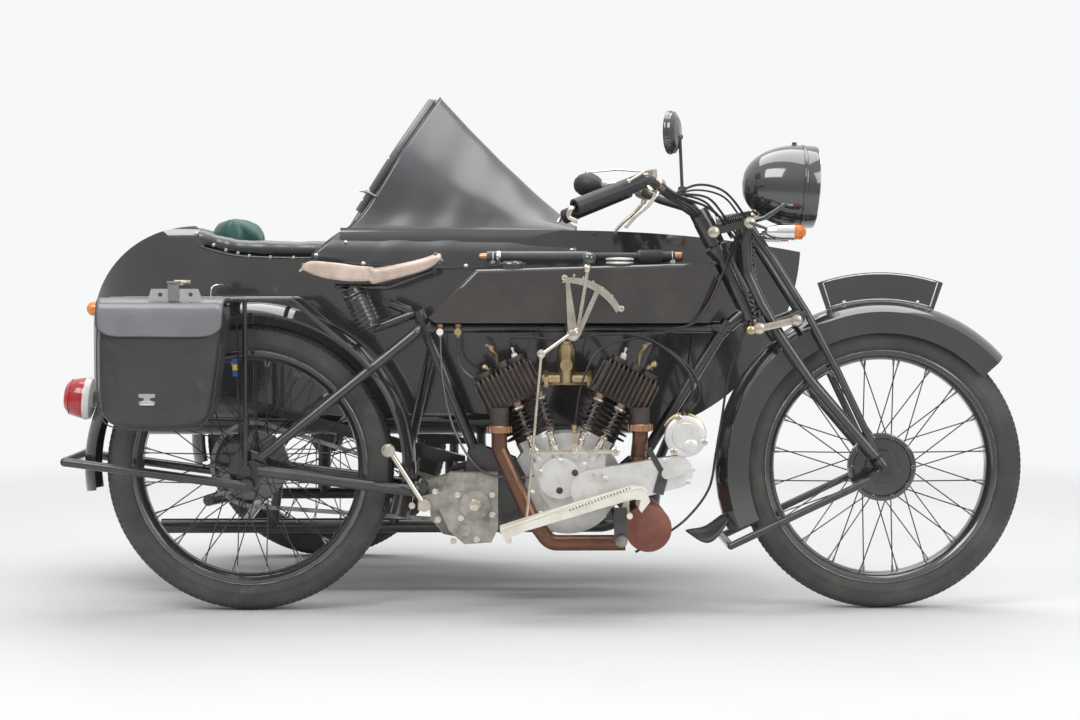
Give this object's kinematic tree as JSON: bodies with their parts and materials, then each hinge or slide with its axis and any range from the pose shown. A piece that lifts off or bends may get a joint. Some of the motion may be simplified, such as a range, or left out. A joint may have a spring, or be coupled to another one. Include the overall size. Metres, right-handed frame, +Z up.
{
  "type": "sidecar motorcycle",
  "caption": "Rigid-frame veteran motorcycle with a vee engine and girder fork, and a boat-tailed sidecar on its left with a raked screen, apron and sprung chassis.",
  "frame": {"origin": "middle of the outfit's box in plan, on the ground under its wheels", "axes": "+X is forward, +Y is to the left, towards the sidecar, and +Z is up"},
  "size_m": [2.3889, 1.4532, 1.2966],
  "materials": {
    "black_enamel": "gloss black stove enamel",
    "tyre_rubber": "matt black rubber",
    "black_rubber": "black rubber",
    "case_aluminium": "sand-cast aluminium, wiped clean",
    "barrel_iron": "black-finished cast iron",
    "nickel": "warm nickel plate",
    "exhaust_copper": "heat-browned steel with a copper tint",
    "silencer_red": "brick-red primer",
    "brass": "dull brass",
    "cream_board": "cream ribbed covering",
    "saddle_leather": "worn tan leather",
    "black_cloth": "black leathercloth",
    "green_leather": "dark green leather",
    "lens_red": "red lens",
    "chain_steel": "oiled steel"
  },
  "bodies": {
    "frame": {"carburettor": "brass", "chain_stays": "black_enamel", "crankcase": "case_aluminium", "cylinders": "barrel_iron", "down_tube": "black_enamel", "engine_plates": "black_enamel", "exhaust_pipes": "exhaust_copper", "footboards": "cream_board", "fuel_tank": "black_enamel", "gear_lever": "nickel", "gearbox": "case_aluminium", "head_lug": "black_enamel", "kick_starter": "nickel", "magneto": "case_aluminium", "pannier": "black_cloth", "primary_chaincase": "black_enamel", "rear_carrier": "black_enamel", "rear_chain": "chain_steel", "rear_lamps": "lens_red", "rear_mudguard": "black_enamel", "saddle": "saddle_leather", "saddle_frame": "black_enamel", "seat_stays": "black_enamel", "seat_tube": "black_enamel", "sidecar_apron": "black_cloth", "sidecar_body": "black_enamel", "sidecar_coaming": "black_cloth", "sidecar_cross_tubes": "black_enamel", "sidecar_cushion": "green_leather", "sidecar_inner_rail": "black_enamel", "sidecar_mudguard": "black_enamel", "sidecar_outer_rail": "black_enamel", "sidecar_springs": "black_enamel", "sidecar_squab": "green_leather", "sidecar_struts": "black_enamel", "sidecar_windscreen": "black_enamel", "silencer": "silencer_red", "tank_rail": "black_enamel", "timing_case": "case_aluminium", "tyre_pump": "nickel", "valve_gear": "nickel"},
    "fork": {"fork_links": "black_enamel", "girder_fork": "black_enamel", "fork_springs": "black_enamel", "handlebar": "nickel", "grips": "black_rubber", "front_lamps": "black_enamel", "mirror": "black_enamel", "front_mudguard": "black_enamel", "front_number_plate": "black_enamel", "control_levers": "nickel"},
    "front_wheel_body": {"front_tyre": "tyre_rubber", "front_wheel": "black_enamel"},
    "rear_wheel_body": {"rear_tyre": "tyre_rubber", "rear_hub": "black_enamel", "rear_wheel": "black_enamel"},
    "sidecar_wheel_body": {"sidecar_tyre": "tyre_rubber", "sidecar_wheel": "black_enamel"},
    "rear_stand_body": {"rear_stand": "black_enamel"},
    "front_stand_body": {"front_stand": "black_enamel"}
  },
  "joints": [
    {"name": "steering", "type": "hinge", "parent": "frame", "child": "fork", "pos_m": [0.4845, -0.3614, 0.802], "axis": [-0.454, 0, 0.891], "range_deg": [-30, 30]},
    {"name": "front_wheel_spin", "type": "hinge", "parent": "fork", "child": "front_wheel_body", "pos_m": [0.8445, -0.3614, 0.35], "axis": [0, 1, 0], "continuous": true},
    {"name": "rear_wheel_spin", "type": "hinge", "parent": "frame", "child": "rear_wheel_body", "pos_m": [-0.6985, -0.3614, 0.35], "axis": [0, 1, 0], "continuous": true},
    {"name": "sidecar_wheel_spin", "type": "hinge", "parent": "frame", "child": "sidecar_wheel_body", "pos_m": [-0.5925, 0.6686, 0.35], "axis": [0, 1, 0], "continuous": true},
    {"name": "rear_stand_swing", "type": "hinge", "parent": "frame", "child": "rear_stand_body", "pos_m": [-0.6965, -0.3614, 0.315], "axis": [0, 1, 0], "range_deg": [-100, 0]},
    {"name": "front_stand_swing", "type": "hinge", "parent": "fork", "child": "front_stand_body", "pos_m": [0.8175, -0.3614, 0.33], "axis": [0, 1, 0], "range_deg": [-68, 0]}
  ]
}
